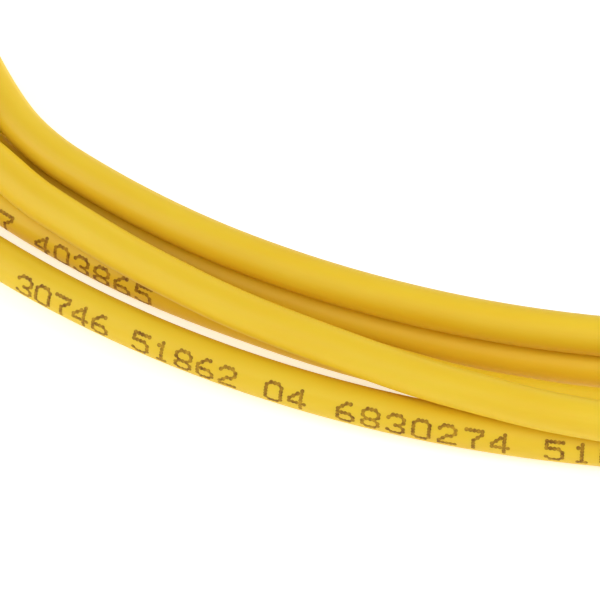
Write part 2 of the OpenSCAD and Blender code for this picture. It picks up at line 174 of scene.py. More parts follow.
class Graph:
    """The node tree of a material or of the world, filled one node at a time."""

    BY_PLACE = "in_"
    NOISE_ROUGHNESS = 0.55
    NOISE_RANGE = (0.3, 0.7)

    def __init__(self, owner: Material | World) -> None:
        """Empties the owner's tree.

        Args:
            owner: the material or the world.
        """
        self.output = "ShaderNodeOutputWorld" if isinstance(owner, World) else "ShaderNodeOutputMaterial"
        owner.use_nodes = True
        self.tree = owner.node_tree
        self.tree.nodes.clear()

    def socket(self, node: Node, key: str) -> NodeSocket:
        """Finds one of a node's inputs.

        Args:
            node: the node.
            key: the input's name with _ for a space, or in_0, in_1 and so on by place.

        Returns:
            The input.
        """
        if key.startswith(self.BY_PLACE):
            return node.inputs[int(key.removeprefix(self.BY_PLACE))]
        return node.inputs[key.replace("_", " ")]

    def add(self, kind: str, settings: dict[str, Any] | None = None, **inputs: Any) -> Node:
        """Adds a node.

        Args:
            kind: the node's type.
            settings: the node's own properties.
            inputs: values or outputs for its inputs, named as socket() takes them.

        Returns:
            The new node.
        """
        node = self.tree.nodes.new(kind)
        for key, value in (settings or {}).items():
            setattr(node, key, value)
        for key, value in inputs.items():
            socket = self.socket(node, key)
            if isinstance(value, NodeSocket):
                self.tree.links.new(value, socket)
            else:
                socket.default_value = value
        return node

    def place(self, reading: Reading = Reading.METRES) -> NodeSocket:
        """Where the shaded point lies on its piece."""
        return self.add("ShaderNodeTexCoord").outputs[reading.value]

    def noise(self, place: NodeSocket, waves: float | Triple, octaves: float = 3.0) -> NodeSocket:
        """Adds noise.

        Args:
            place: where to read it.
            waves: how many waves lie in a unit of place, in any direction or by axis.
            octaves: how many finer layers it has.

        Returns:
            The noise's value.
        """
        if isinstance(waves, tuple):
            place = self.add("ShaderNodeMapping", Vector=place, Scale=waves).outputs["Vector"]
            waves = 1.0
        node = self.add("ShaderNodeTexNoise", Vector=place, Scale=waves, Detail=octaves,
                        Roughness=self.NOISE_ROUGHNESS)
        return node.outputs["Fac"]

    def spread(self, value: NodeSocket, low: float = 0.0, high: float = 1.0) -> NodeSocket:
        """Stretches noise, whose values crowd in the middle, over a range.

        Args:
            value: the noise's value.
            low: what its low values become.
            high: what its high values become.

        Returns:
            The stretched value.
        """
        start, end = self.NOISE_RANGE
        node = self.add("ShaderNodeMapRange", Value=value, From_Min=start, From_Max=end,
                        To_Min=low, To_Max=high)
        return node.outputs["Result"]

    def blend(self, factor: NodeSocket, first: Colour, second: Colour) -> NodeSocket:
        """Mixes two colours.

        Args:
            factor: 0 for the first, 1 for the second.
            first: a colour.
            second: another.

        Returns:
            The mixed colour.
        """
        # a mix node's colours are its inputs 6 and 7 and its output 2
        node = self.add("ShaderNodeMix", {"data_type": "RGBA"}, in_0=factor, in_6=(*first, 1.0),
                        in_7=(*second, 1.0))
        return node.outputs[2]

    def bump(self, height: NodeSocket, depth: float, strength: float = 1.0,
             under: NodeSocket | None = None) -> NodeSocket:
        """Adds a bump.

        Args:
            height: the height field.
            depth: how deep it is, in metres.
            strength: how much of it shows.
            under: a normal that it adds to.

        Returns:
            The normal.
        """
        node = self.add("ShaderNodeBump", Height=height, Distance=depth, Strength=strength)
        if under is not None:
            self.tree.links.new(under, node.inputs["Normal"])
        return node.outputs["Normal"]

    def show(self, shader: Node) -> None:
        """Joins the last shader to the tree's output."""
        self.add(self.output, Surface=shader.outputs[0])


@dataclass(frozen=True)
class Finish(ABC):
    """A surface finish. Its waves are counted by the metre, unless it says otherwise."""

    name: str

    @abstractmethod
    def surface(self, g: Graph) -> Node:
        """Adds the finish's nodes.

        Args:
            g: the material's tree.

        Returns:
            The shader that the surface shows.
        """

    def build(self) -> Material:
        """Makes the material.

        Returns:
            The material.
        """
        material = bpy.data.materials.new(self.name)
        g = Graph(material)
        g.show(self.surface(g))
        return material


@dataclass(frozen=True)
class JacketPvc(Finish):
    """Extruded yellow jacket: soft sheen, faint die lines along it and a slightly uneven colour.

    Its waves are counted by the metre along the cord and by the turn round it.
    """

    name: str = "jacket_pvc"
    colour: Colour = linear(236, 200, 44)
    deep: Colour = linear(233, 190, 31)
    deep_share: float = 0.8
    patch_waves: Triple = (90.0, 3.0, 1.0)
    roughness: tuple[float, float] = (0.44, 0.54)
    line_waves: Triple = (12.0, 26.0, 1.0)
    line_depth: float = 0.03 * MM
    line_show: float = 0.35
    grain_waves: Triple = (9000.0, 90.0, 1.0)
    grain_depth: float = 0.008 * MM
    grain_show: float = 0.5
    scatter: float = 0.12
    scatter_tint: Colour = (1.0, 0.55, 0.12)
    scatter_reach: float = 0.9 * MM
    refraction: float = 1.4

    def surface(self, g: Graph) -> Node:
        """Adds the jacket's nodes.

        Args:
            g: the material's tree.

        Returns:
            The shader that the surface shows.
        """
        place = g.place(Reading.LENGTH_AND_GIRTH)
        lines = g.noise(place, self.line_waves, octaves=4.0)
        patches = g.noise(place, self.patch_waves)
        grain = g.noise(place, self.grain_waves, octaves=2.0)
        ridges = g.bump(lines, self.line_depth, self.line_show)
        return g.add("ShaderNodeBsdfPrincipled",
                     Base_Color=g.blend(g.spread(patches, high=self.deep_share), self.colour, self.deep),
                     Roughness=g.spread(lines, *self.roughness),
                     Normal=g.bump(grain, self.grain_depth, self.grain_show, under=ridges),
                     Subsurface_Weight=self.scatter,
                     Subsurface_Radius=self.scatter_tint,
                     Subsurface_Scale=self.scatter_reach,
                     IOR=self.refraction)


@dataclass(frozen=True)
class PrintInk(Finish):
    """Thin dark brown ink, a little uneven where it lies on the jacket."""

    name: str = "print_ink"
    dark: Colour = linear(118, 76, 10)
    faded: Colour = linear(196, 150, 34)
    fade_waves: float = 2600.0
    roughness: tuple[float, float] = (0.5, 0.7)
    gloss: float = 0.2

    def surface(self, g: Graph) -> Node:
        """Adds the ink's nodes.

        Args:
            g: the material's tree.

        Returns:
            The shader that the surface shows.
        """
        fade = g.noise(g.place(), self.fade_waves, octaves=2.0)
        return g.add("ShaderNodeBsdfPrincipled",
                     Base_Color=g.blend(g.spread(fade), self.dark, self.faded),
                     Roughness=g.spread(fade, *self.roughness),
                     Specular_IOR_Level=self.gloss)


@dataclass(frozen=True)
class Moulded(Finish):
    """Moulded plastic or pressed ceramic, with a fine grain and faint flow marks."""

    colour: Colour
    roughness: tuple[float, float] = (0.32, 0.44)
    grain_size: float = 0.12 * MM
    grain_depth: float = 0.006 * MM
    grain_show: float = 0.6
    flow_waves: float = 160.0
    flow_shade: float = 0.88
    scatter: float = 0.05
    scatter_reach: float = 0.5 * MM
    transmission: float = 0.0

    def surface(self, g: Graph) -> Node:
        """Adds the moulded finish's nodes.

        Args:
            g: the material's tree.

        Returns:
            The shader that the surface shows.
        """
        place = g.place()
        grain = g.noise(place, 1.0 / self.grain_size)
        flow = g.noise(place, self.flow_waves)
        darker = shaded(self.colour, self.flow_shade)
        return g.add("ShaderNodeBsdfPrincipled",
                     Base_Color=g.blend(g.spread(flow), self.colour, darker),
                     Roughness=g.spread(flow, *self.roughness),
                     Normal=g.bump(grain, self.grain_depth, self.grain_show),
                     Subsurface_Weight=self.scatter,
                     Subsurface_Scale=self.scatter_reach,
                     Transmission_Weight=self.transmission)


@dataclass(frozen=True)
class Metal(Finish):
    """Turned or drawn metal, with fine tool marks and slightly worn places."""

    colour: Colour
    roughness: tuple[float, float] = (0.22, 0.38)
    mark_waves: float = 5200.0
    mark_depth: float = 0.004 * MM
    mark_show: float = 0.6
    wear_waves: float = 420.0
    wear_shade: float = 0.8

    def surface(self, g: Graph) -> Node:
        """Adds the metal's nodes.

        Args:
            g: the material's tree.

        Returns:
            The shader that the surface shows.
        """
        place = g.place()
        marks = g.noise(place, self.mark_waves, octaves=4.0)
        wear = g.noise(place, self.wear_waves)
        darker = shaded(self.colour, self.wear_shade)
        return g.add("ShaderNodeBsdfPrincipled",
                     Base_Color=g.blend(g.spread(wear), self.colour, darker),
                     Roughness=g.spread(wear, *self.roughness),
                     Normal=g.bump(marks, self.mark_depth, self.mark_show),
                     Metallic=1.0)


@dataclass(frozen=True)
class Yarn(Finish):
    """Aramid yarn: fine glossy strands."""

    name: str = "aramid_yarn"
    colour: Colour = linear(226, 196, 96)
    deep: Colour = linear(180, 140, 50)
    roughness: tuple[float, float] = (0.4, 0.6)
    strand_waves: Triple = (900.0, 900.0, 9000.0)
    strand_depth: float = 0.03 * MM

    def surface(self, g: Graph) -> Node:
        """Adds the yarn's nodes.

        Args:
            g: the material's tree.

        Returns:
            The shader that the surface shows.
        """
        strands = g.noise(g.place(), self.strand_waves, octaves=4.0)
        return g.add("ShaderNodeBsdfPrincipled",
                     Base_Color=g.blend(g.spread(strands), self.deep, self.colour),
                     Roughness=g.spread(strands, *self.roughness),
                     Normal=g.bump(strands, self.strand_depth))


@dataclass(frozen=True)
class PaleGround(Finish):
    """The floor: a pale sheet that also glows a little, on which the cord's shadow stays.

    The camera sees that glow a little brighter and greener, which makes up for the warm light that
    the cord throws on the floor.
    """

    name: str = "pale_ground"
    lit: float = 0.8
    glow: float = 0.435
    seen_tint: Colour = (1.12, 1.18, 1.13)

    def surface(self, g: Graph) -> Node:
        """Adds the floor's nodes.

        Args:
            g: the material's tree.

        Returns:
            The shader that the surface shows.
        """
        paper = g.add("ShaderNodeBsdfDiffuse", Color=(*shaded(WHITE, self.lit), 1.0))
        seen = g.add("ShaderNodeLightPath").outputs["Is Camera Ray"]
        tint = g.blend(seen, WHITE, self.seen_tint)
        glow = g.add("ShaderNodeEmission", Color=tint, Strength=self.glow)
        return g.add("ShaderNodeAddShader", in_0=paper.outputs[0], in_1=glow.outputs[0])


# ---- meshes -----------------------------------------------------------------------------------


def shade_smooth(mesh: Mesh, sharp_over: float) -> None:
    """Shades a mesh smooth, but for the edges sharper than an angle.

    Args:
        mesh: the mesh.
        sharp_over: the angle, in degrees.
    """
    mesh.polygons.foreach_set("use_smooth", [True] * len(mesh.polygons))
    mesh.set_sharp_from_angle(angle=math.radians(sharp_over))


def grid_faces(rings: int, sides: int, closed: bool = False) -> list[Face]:
    """Faces of a tube of rings, without its ends.

    Args:
        rings: how many rings of points.
        sides: points in a ring.
        closed: whether the last ring joins the first.

    Returns:
        The tube's side faces.
    """
    faces = []
    for i in range(rings if closed else rings - 1):
        j = (i + 1) % rings
        for k in range(sides):
            n = (k + 1) % sides
            faces.append((i * sides + k, i * sides + n, j * sides + n, j * sides + k))
    return faces


def capped_tube(rings: int, sides: int) -> list[Face]:
    """Faces of a tube of rings, with its two ends last.

    Args:
        rings: how many rings of points.
        sides: points in a ring.

    Returns:
        The tube's faces.
    """
    last = (rings - 1) * sides
    return grid_faces(rings, sides) + [tuple(reversed(range(sides))), tuple(range(last, last + sides))]


@dataclass
class Shells:
    """Closed shells of points and faces, gathered to become one mesh."""

    verts: list[Vector] = field(default_factory=list)
    faces: list[Face] = field(default_factory=list)

    def add(self, verts: Sequence[Vector], faces: Iterable[Face]) -> None:
        """Adds a shell.

        Args:
            verts: its points.
            faces: its faces, counted from its first point.
        """
        base = len(self.verts)
        self.verts += verts
        self.faces += [tuple(base + n for n in face) for face in faces]

    def mesh(self, name: str, sharp_over: float, uv: Sequence[float] = ()) -> Mesh:
        """Makes the mesh, its faces outward and its soft edges smooth.

        Args:
            name: its name.
            sharp_over: the angle over which an edge stays sharp, in degrees.
            uv: a UV for each corner of the faces, in their order.

        Returns:
            The mesh.
        """
        mesh = bpy.data.meshes.new(name)
        mesh.from_pydata(self.verts, [], self.faces)
        if uv:
            mesh.uv_layers.new(name="length_and_girth").data.foreach_set("uv", uv)
        mesh.validate()
        work = bmesh.new()
        work.from_mesh(mesh)
        bmesh.ops.recalc_face_normals(work, faces=work.faces)
        work.to_mesh(mesh)
        work.free()
        shade_smooth(mesh, sharp_over)
        return mesh


def new_piece(mesh: Mesh, material: Material, body: str, slot: str) -> Object:
    """Puts a mesh in the scene as a piece of the object, under the mesh's name.

    Args:
        mesh: the piece's mesh.
        material: its material.
        body: the body that it moves with.
        slot: the record's material slot; not used.

    Returns:
        The new piece.
    """
    piece = bpy.data.objects.new(mesh.name, mesh)
    bpy.context.scene.collection.objects.link(piece)
    mesh.materials.append(material)
    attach(piece, body)
    return piece


def even_normals(piece: Object) -> None:
    """Lets a piece's large faces set the shading at their rounded edges."""
    weighting = piece.modifiers.new("even_normals", "WEIGHTED_NORMAL")
    weighting.keep_sharp = True


# ---- the cord ---------------------------------------------------------------------------------


def catmull(p: Sequence[Vector], u: float) -> Vector:
    """A point of the centripetal Catmull-Rom curve between the middle two of four knots.

    Args:
        p: the four knots.
        u: 0 at the second knot and 1 at the third.

    Returns:
        The point.
    """
    t = [0.0]
    for start, end in zip(p, p[1:]):
        t.append(t[-1] + math.sqrt((end - start).length))
    x = t[1] + (t[2] - t[1]) * u

    def mix(a: Vector, b: Vector, low: float, high: float) -> Vector:
        """The point between a at low and b at high."""
        return a * ((high - x) / (high - low)) + b * ((x - low) / (high - low))

    a1, a2, a3 = (mix(p[i], p[i + 1], t[i], t[i + 1]) for i in range(3))
    b1, b2 = mix(a1, a2, t[0], t[2]), mix(a2, a3, t[1], t[3])
    return mix(b1, b2, t[1], t[2])


@dataclass
class CordRoute:
    """Where the cord runs: out of plug A, round the coil six times and into plug B.

    Angles along the coil are in degrees from +X and grow by 360 a turn.
    """

    diameter: float = 3.0 * MM
    cut_length: float = 2.94
    coil_mid: Vector = field(default_factory=lambda: Vector((-11.5 * MM, 0.0, 0.0)))
    coil_from: float = 112.5
    coil_to: float = 5 * TURN + 262.5
    angle_step: float = 1.0
    # the turns: their radii at the front, where they are counted, and how far past it each one
    # moves over to the next
    outer_turn_r: float = 86.6 * MM
    outer_gap: float = 1.4 * MM
    turn_gap: float = 0.5 * MM
    front_at: float = 240.0
    step_from: tuple[float, ...] = (35.0, 35.0, 35.0, 150.0, 35.0, 35.0)
    step_to: tuple[float, ...] = (325.0, 325.0, 325.0, 325.0, 200.0, 325.0)
    # the left side of the last turn but one, which runs straighter
    flat_side_r: float = 69.6 * MM
    flat_at: float = 4 * TURN + 198.0
    flat_reach: float = 70.0
    flat_soft: float = 1.6 * MM
    # how the coil's two ends leave the round, outward
    lead_slope: float = 0.15 * MM
    lead_in_to: float = 155.0
    lead_out_from: float = 5 * TURN + 229.0
    lead_soft: float = 4.0
    # the climb from the lower layer to the upper one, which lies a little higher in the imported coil
    lower_z: float = 2.1 * MM
    layer_rise: float = 3.05 * MM
    solid_rise: float = 3.45 * MM
    climb_from: float = 3 * TURN + 264.0
    climb_over: float = 120.0
    # the turns rest on the floor but for where a tie's ribbon runs under them, at each half turn
    sag_depth: float = 0.57 * MM
    sag_from: float = 6.0
    sag_over: float = 22.0
    # how the turns stray at the front, by turn, as (angle, outward, up), in degrees and millimetres
    strays: dict[int, tuple[Triple, ...]] = field(default_factory=lambda: {
        1: ((228, 0, 0), (234, -0.04, 0), (244, -0.29, 0), (250, -0.18, 0), (257, 0.38, 0),
            (262, 0.6, 0), (276, 0, 0)),
        2: ((208, 0, 0), (224, 0.2, 0.25), (242, 0.2, 0.25), (262, 0, 0)),
        3: ((198, 0, 0), (218, 0.5, 0), (226, 0.68, 0), (242, 0.68, 0), (262, 0.45, 0), (282, 0, 0)),
        4: ((208, 0, 0), (220, -0.08, 0.1), (224.5, -0.28, 0.2), (230, 0.14, 0.2), (242, 0.3, 0.2),
            (262, 0.2, 0), (275, 0, 0)),
        5: ((214, 0, 0), (226, -0.4, 0), (230.5, 0.12, 0), (235, 0, 0), (241, -0.14, 0),
            (249, -0.34, 0), (256, -0.1, 0), (261, 0.12, 0), (262.5, 0.12, 0)),
    })
    # points of the tails, in millimetres from the coil's middle
    tails: dict[End, tuple[Triple, ...]] = field(default_factory=lambda: {
        End.A: ((-27, 90, 2.1), (-18.5, 92.7, 2.1), (-9.5, 94.7, 2.1), (-0.5, 95.7, 2.1), (9, 95.8, 2.2),
                (18, 94.9, 2.5), (27, 92.9, 2.9), (36, 89.8, 3.3), (43, 86.6, 3.6)),
        End.B: ((-1, -88.2, 5.5), (7, -89.1, 5.4), (15, -89.3, 5.2), (23, -88.8, 4.9),
                (30.5, -87.6, 4.5), (38, -85.7, 4.1), (44, -83.6, 3.8)),
    })
    # steps between two of those, and how far back on the coil a tail takes its direction, in degrees
    tail_steps: int = 8
    tail_lead: float = 5.0
    # the plugs: where each boot's cable end lies from the coil's middle, and the way that it points
    plug_at: dict[End, tuple[float, float]] = field(
        default_factory=lambda: {End.A: (55.0 * MM, 79.0 * MM), End.B: (55.0 * MM, -78.7 * MM)})
    plug_turn: dict[End, float] = field(default_factory=lambda: {End.A: -33.0, End.B: 24.0})
    grip_z: float = 3.7 * MM
    entry_len: float = 4.0 * MM
    jacket_stop: float = 23.5 * MM

    def turn_radii(self) -> list[float]:
        """Radii of the six turns where they are counted: four inward below, two outward above.

        Returns:
            The radii, in metres.
        """
        pitch = self.diameter + self.turn_gap
        second = self.outer_turn_r - self.diameter - self.outer_gap
        lower = [self.outer_turn_r, second, second - pitch, second - 2 * pitch]
        return lower + [lower[3] + self.diameter, lower[3] + self.diameter + pitch]

    def round_r(self, t: float) -> float:
        """Radius of the round turns at an angle.

        Args:
            t: the angle along the coil.

        Returns:
            The radius, in metres.
        """
        radii = self.turn_radii()
        last = len(radii) - 1
        k = math.floor((t - self.front_at) / TURN)
        past = t - self.front_at - TURN * k
        i, j = min(max(k, 0), last), min(max(k + 1, 0), last)
        step = (past - self.step_from[i]) / (self.step_to[i] - self.step_from[i])
        return radii[i] + (radii[j] - radii[i]) * ease(step)

    def coil_at(self, t: float) -> Vector:
        """A point of the coil.

        Args:
            t: the angle along the coil.

        Returns:
            The point, in metres.
        """
        r = self.round_r(t)
        x = t - self.flat_at
        if abs(x) < self.flat_reach:
            r -= soft(r - self.flat_side_r / math.cos(math.radians(x)), self.flat_soft)
        r += self.lead_slope * soft(self.lead_in_to - t, self.lead_soft)
        r += self.lead_slope * soft(t - self.lead_out_from, self.lead_soft)
        z = self.lower_z + self.layer_rise * ease((t - self.climb_from) / self.climb_over) - self.sag(t)
        out, up = self.stray(t)
        a = math.radians(t)
        return self.coil_mid + Vector(((r + out) * math.cos(a), (r + out) * math.sin(a), z + up))

    def sag(self, t: float) -> float:
        """How far the coil lies below its height in the ties, at an angle."""
        past = t % (TURN / 2.0)
        return self.sag_depth * ease((min(past, TURN / 2.0 - past) - self.sag_from) / self.sag_over)

    def stray(self, t: float) -> tuple[float, float]:
        """How far a turn strays outward and up at an angle.

        Args:
            t: the angle along the coil.

        Returns:
            The two distances, in metres.
        """
        knots = self.strays.get(math.floor(t / TURN), ())
        for (a0, out0, up0), (a1, out1, up1) in zip(knots, knots[1:]):
            if a0 <= t % TURN <= a1:
                u = ease((t % TURN - a0) / (a1 - a0))
                return (out0 + (out1 - out0) * u) * MM, (up0 + (up1 - up0) * u) * MM
        return 0.0, 0.0

    def heading(self, end: End) -> Vector:
        """The way that a plug points."""
        return level(self.plug_turn[end])

    def on_plug(self, end: End, along: float) -> Vector:
        """A point on a plug's axis.

        Args:
            end: which plug.
            along: how far from its boot's cable end, towards the ferrule.

        Returns:
            The point, in metres.
        """
        x, y = self.plug_at[end]
        return self.coil_mid + Vector((x, y, self.grip_z)) + along * self.heading(end)

    def tail(self, end: End) -> list[Vector]:
        """The knots of a tail, from the coil to where the jacket stops in the plug.

        Args:
            end: which tail.

        Returns:
            The knots, in metres.
        """
        points = self.tails[end]
        # the coil's end lies lower here than the solid's, and the plug doesn't
        lower = self.sag_depth + (self.solid_rise - self.layer_rise if end is End.B else 0.0)
        knots = []
        for i, (x, y, z) in enumerate(points):
            drop = lower * (1.0 - i / len(points))
            knots.append(self.coil_mid + Vector((x * MM, y * MM, z * MM - drop)))
        on_axis = (-self.entry_len, 0.0, self.jacket_stop / 2.0, self.jacket_stop)
        return knots + [self.on_plug(end, along) for along in on_axis]

    def smooth_tail(self, end: End) -> list[Vector]:
        """The tail as a smooth curve through its knots, without the coil's own end point.

        Args:
            end: which tail.

        Returns:
            The curve's points, in metres.
        """
        t, back = (self.coil_from, self.tail_lead) if end is End.A else (self.coil_to, -self.tail_lead)
        knots = [self.coil_at(t + back), self.coil_at(t)] + self.tail(end)
        knots.append(knots[-1] + (knots[-1] - knots[-2]))
        shares = [n / self.tail_steps for n in range(1, self.tail_steps + 1)]
        return [catmull(knots[i:i + 4], u) for i in range(len(knots) - 3) for u in shares]

    def line(self) -> tuple[list[Vector], int]:
        """The whole cord's centreline.

        Returns:
            The points from plug A to plug B, and the place among them of the coil's first.
        """
        lead = self.smooth_tail(End.A)[::-1]
        count = round((self.coil_to - self.coil_from) / self.angle_step)
        coil = [self.coil_at(self.coil_from + self.angle_step * i) for i in range(count + 1)]
        return lead + coil + self.smooth_tail(End.B), len(lead)


@dataclass
class MeasuredLine:
    """A line through points, read by length: the cord's middle, or a tie's loop."""

    points: list[Vector]
    direction_reach: float = 0.8 * MM

    def __post_init__(self) -> None:
        """Adds up the lengths."""
        self.at = [0.0]
        for a, b in zip(self.points, self.points[1:]):
            self.at.append(self.at[-1] + (b - a).length)
        self.length = self.at[-1]

    def point(self, s: float) -> Vector:
        """The point at a length.

        Args:
            s: the length, which is held between the two ends.

        Returns:
            The point.
        """
        i = min(max(bisect_right(self.at, s) - 1, 0), len(self.points) - 2)
        u = (s - self.at[i]) / (self.at[i + 1] - self.at[i])
        return self.points[i].lerp(self.points[i + 1], min(1.0, max(0.0, u)))

    def resampled(self, step: float) -> list[Vector]:
        """Points at even steps.

        Args:
            step: about how far apart, in metres.

        Returns:
            The points, with both ends.
        """
        count = max(1, round(self.length / step))
        return [self.point(self.length * i / count) for i in range(count + 1)]

    def axes(self, s: float) -> tuple[Vector, Vector, Vector]:
        """The directions at a length.

        Args:
            s: the length.

        Returns:
            Along the line, outward from it at right angles and level, and up from it.
        """
        before, after = max(0.0, s - self.direction_reach), min(self.length, s + self.direction_reach)
        run = (self.point(after) - self.point(before)).normalized()
        side = run.cross(UP).normalized()
        return run, side, side.cross(run)


@dataclass(frozen=True)
class Legend:
    """A stretch of print along the jacket, from a coil angle and tilted up from level, in degrees.

    Its character number i lies pitch * i + growth * i * i further along.
    """

    text: str
    from_angle: float
    tilt: float
    pitch: float = 1.834 * MM
    growth: float = 0.0


# the print's digits, each seven rows of five dots, and the dot in the middle as column and row
DIGITS: dict[str, tuple[str, ...]] = {
    "0": ("01110", "10001", "10001", "10001", "10001", "10001", "01110"),
    "1": ("00100", "01100", "00100", "00100", "00100", "00100", "01110"),
    "2": ("01110", "10001", "00001", "00110", "01000", "10000", "11111"),
    "3": ("01110", "10001", "00001", "00110", "00001", "10001", "01110"),
    "4": ("00010", "00110", "01010", "10010", "11111", "00010", "00010"),
    "5": ("11111", "10000", "11110", "00001", "00001", "10001", "01110"),
    "6": ("00110", "01000", "10000", "11110", "10001", "10001", "01110"),
    "7": ("11111", "00001", "00010", "00100", "00100", "00100", "00100"),
    "8": ("01110", "10001", "10001", "01110", "10001", "10001", "01110"),
    "9": ("01110", "10001", "10001", "01111", "00001", "00010", "01100"),
}
MIDDLE_DOT: Dot = (2, 3)


def ink_runs(dots: set[Dot]) -> list[tuple[Dot, Dot]]:
    """Finds where the ink runs from dot to dot: between neighbours, and across open corners.

    Args:
        dots: a digit's dots, as column and row.

    Returns:
        Pairs of dots.
    """
    runs = []
    for column, row in sorted(dots):
        below = (column, row + 1)
        runs += [((column, row), near) for near in ((column + 1, row), below) if near in dots]
        for aside in (column - 1, column + 1):
            if (aside, row + 1) in dots and not {(aside, row), below} & dots:
                runs.append(((column, row), (aside, row + 1)))
    return runs


@dataclass
class Cord:
    """The cord: its jacket and the plain numbers printed along it."""

    route: CordRoute
    ring_step: float = 1.2 * MM
    path_step: float = 2.4 * MM
    sides: int = 32
    # the print: a digit's dots, the thinner ink between them, and how far both reach out and in
    dot_size: float = 0.33 * MM
    dot_sides: int = 8
    stroke: float = 0.19 * MM
    column_step: float = 0.3 * MM
    row_step: float = 0.255 * MM
    dot_height: float = 0.012 * MM
    stroke_height: float = 0.0096 * MM
    ink_sink: float = 0.02 * MM
    legends: tuple[Legend, ...] = (
        Legend("30746 51862 04 6830274 51063 7740 28", 232.75, 16.0, 1.703 * MM, 0.00635 * MM),
        Legend("51962 7 403865", TURN + 221.28, 6.0),
        Legend("2867 40 318 0462 95317 604 82", 2 * TURN + 330.0, 74.0),
        Legend("60 4471 29305 18264 7038", 150.0, 60.0),
        Legend("30746 51862 04 6830274", 4 * TURN + 70.0, 66.0),
        Legend("2867 40 318 0462 95317 604 82", 4 * TURN + 345.0, 62.0),
        Legend("60 4471 29305 18264 7038", 5 * TURN + 150.0, 70.0),
    )

    def __post_init__(self) -> None:
        """Reads the route."""
        points, self.coil_start = self.route.line()
        self.line = MeasuredLine(points)
        self.radius = self.route.diameter / 2.0

    def build(self, jacket: Material, ink: Material) -> None:
        """Makes the cord.

        Args:
            jacket: the jacket's material.
            ink: the print's material.
        """
        piece = new_piece(self.jacket_mesh(), jacket, ROOT_BODY, "jacket_yellow")
        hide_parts("cable_coil", "cable_tail_a", "cable_tail_b")
        tuple(self.route.on_plug(End.A, 0.0))
        [tuple(p) for p in self.line.resampled(self.path_step)]
        LOG.info("cord_jacket: %.3f m of cord", self.line.length)
        marks = new_piece(self.print_mesh(), ink, ROOT_BODY, "jacket_yellow")
        LOG.info("jacket_print: %d faces of ink", len(marks.data.polygons))

    def jacket_mesh(self) -> Mesh:
        """The jacket as a tube, with its length and girth as UV.

        Returns:
            The mesh.
        """
        count = round(self.line.length / self.ring_step)
        at = [self.line.length * i / count for i in range(count + 1)]
        verts: list[Vector] = []
        for s in at:
            middle = self.line.point(s)
            _, side, up = self.line.axes(s)
            verts += [middle + self.radius * around(side, up, math.tau * k / self.sides)
                      for k in range(self.sides)]
        uv: list[float] = []
        for s0, s1 in zip(at, at[1:]):
            for k in range(self.sides):
                v0, v1 = k / self.sides, (k + 1) / self.sides
                uv += [s0, v0, s0, v1, s1, v1, s1, v0]
        # the two ends are out of sight and need no place in it
        uv += [0.0] * (2 * 2 * self.sides)
        tube = Shells()
        tube.add(verts, capped_tube(len(at), self.sides))
        return tube.mesh("cord_jacket", sharp_over=60.0, uv=uv)

    def length_at(self, t: float) -> float:
        """The length along the cord at a coil angle.

        Args:
            t: the angle along the coil, in degrees.

        Returns:
            The length from plug A, in metres.
        """
        place = self.coil_start + (t - self.route.coil_from) / self.route.angle_step
        i = math.floor(place)
        return self.line.at[i] + (self.line.at[i + 1] - self.line.at[i]) * (place - i)

    def print_mesh(self) -> Mesh:
        """All the print, dot by dot.

        Returns:
            The mesh.
        """
        ink = Shells()
        for legend in self.legends:
            start = self.length_at(legend.from_angle)
            for i, digit in enumerate(legend.text):
                if digit in DIGITS:
                    middle = start + legend.pitch * i + legend.growth * i * i
                    self.add_digit(ink, digit, middle, legend.tilt)
        return ink.mesh("jacket_print", sharp_over=30.0)

    def add_digit(self, ink: Shells, digit: str, s: float, tilt: float) -> None:
        """Adds a digit's dots, and the ink that runs between them.

        Args:
            ink: the print so far.
            digit: the digit.
            s: the length along the cord of its middle.
            tilt: the angle of the print's middle round the jacket, in degrees above level.
        """
        middle = self.line.point(s)
        run, side, up = self.line.axes(s)

        def on_jacket(place: Vector, height: float) -> Vector:
            """A point of the print, by its place from the digit's middle and its height."""
            b = math.radians(tilt) + place.y / self.radius
            return middle + run * place.x + around(side, up, b) * (self.radius + height)

        def add_patch(corners: list[Vector], top: float) -> None:
            """Adds a flat patch of ink, from inside the jacket up to a height."""
            verts = [on_jacket(corner, height) for height in (-self.ink_sink, top) for corner in corners]
            ink.add(verts, capped_tube(2, len(corners)))

        dots = {(column, row) for row, marks in enumerate(DIGITS[digit])
                for column, mark in enumerate(marks) if mark == "1"}
        places = {dot: Vector(((dot[0] - MIDDLE_DOT[0]) * self.column_step,
                               (MIDDLE_DOT[1] - dot[1]) * self.row_step)) for dot in sorted(dots)}
        right, rise = Vector((1.0, 0.0)), Vector((0.0, 1.0))
        rim = [around(right, rise, math.tau * k / self.dot_sides) * (self.dot_size / 2.0)
               for k in range(self.dot_sides)]
        for place in places.values():
            add_patch([place + out for out in rim], self.dot_height)
        for first, second in ink_runs(dots):
            start, end = places[first], places[second]
            across = (end - start).orthogonal().normalized() * (self.stroke / 2.0)
            add_patch([start - across, end - across, end + across, start + across], self.stroke_height)


# ---- the ties ---------------------------------------------------------------------------------


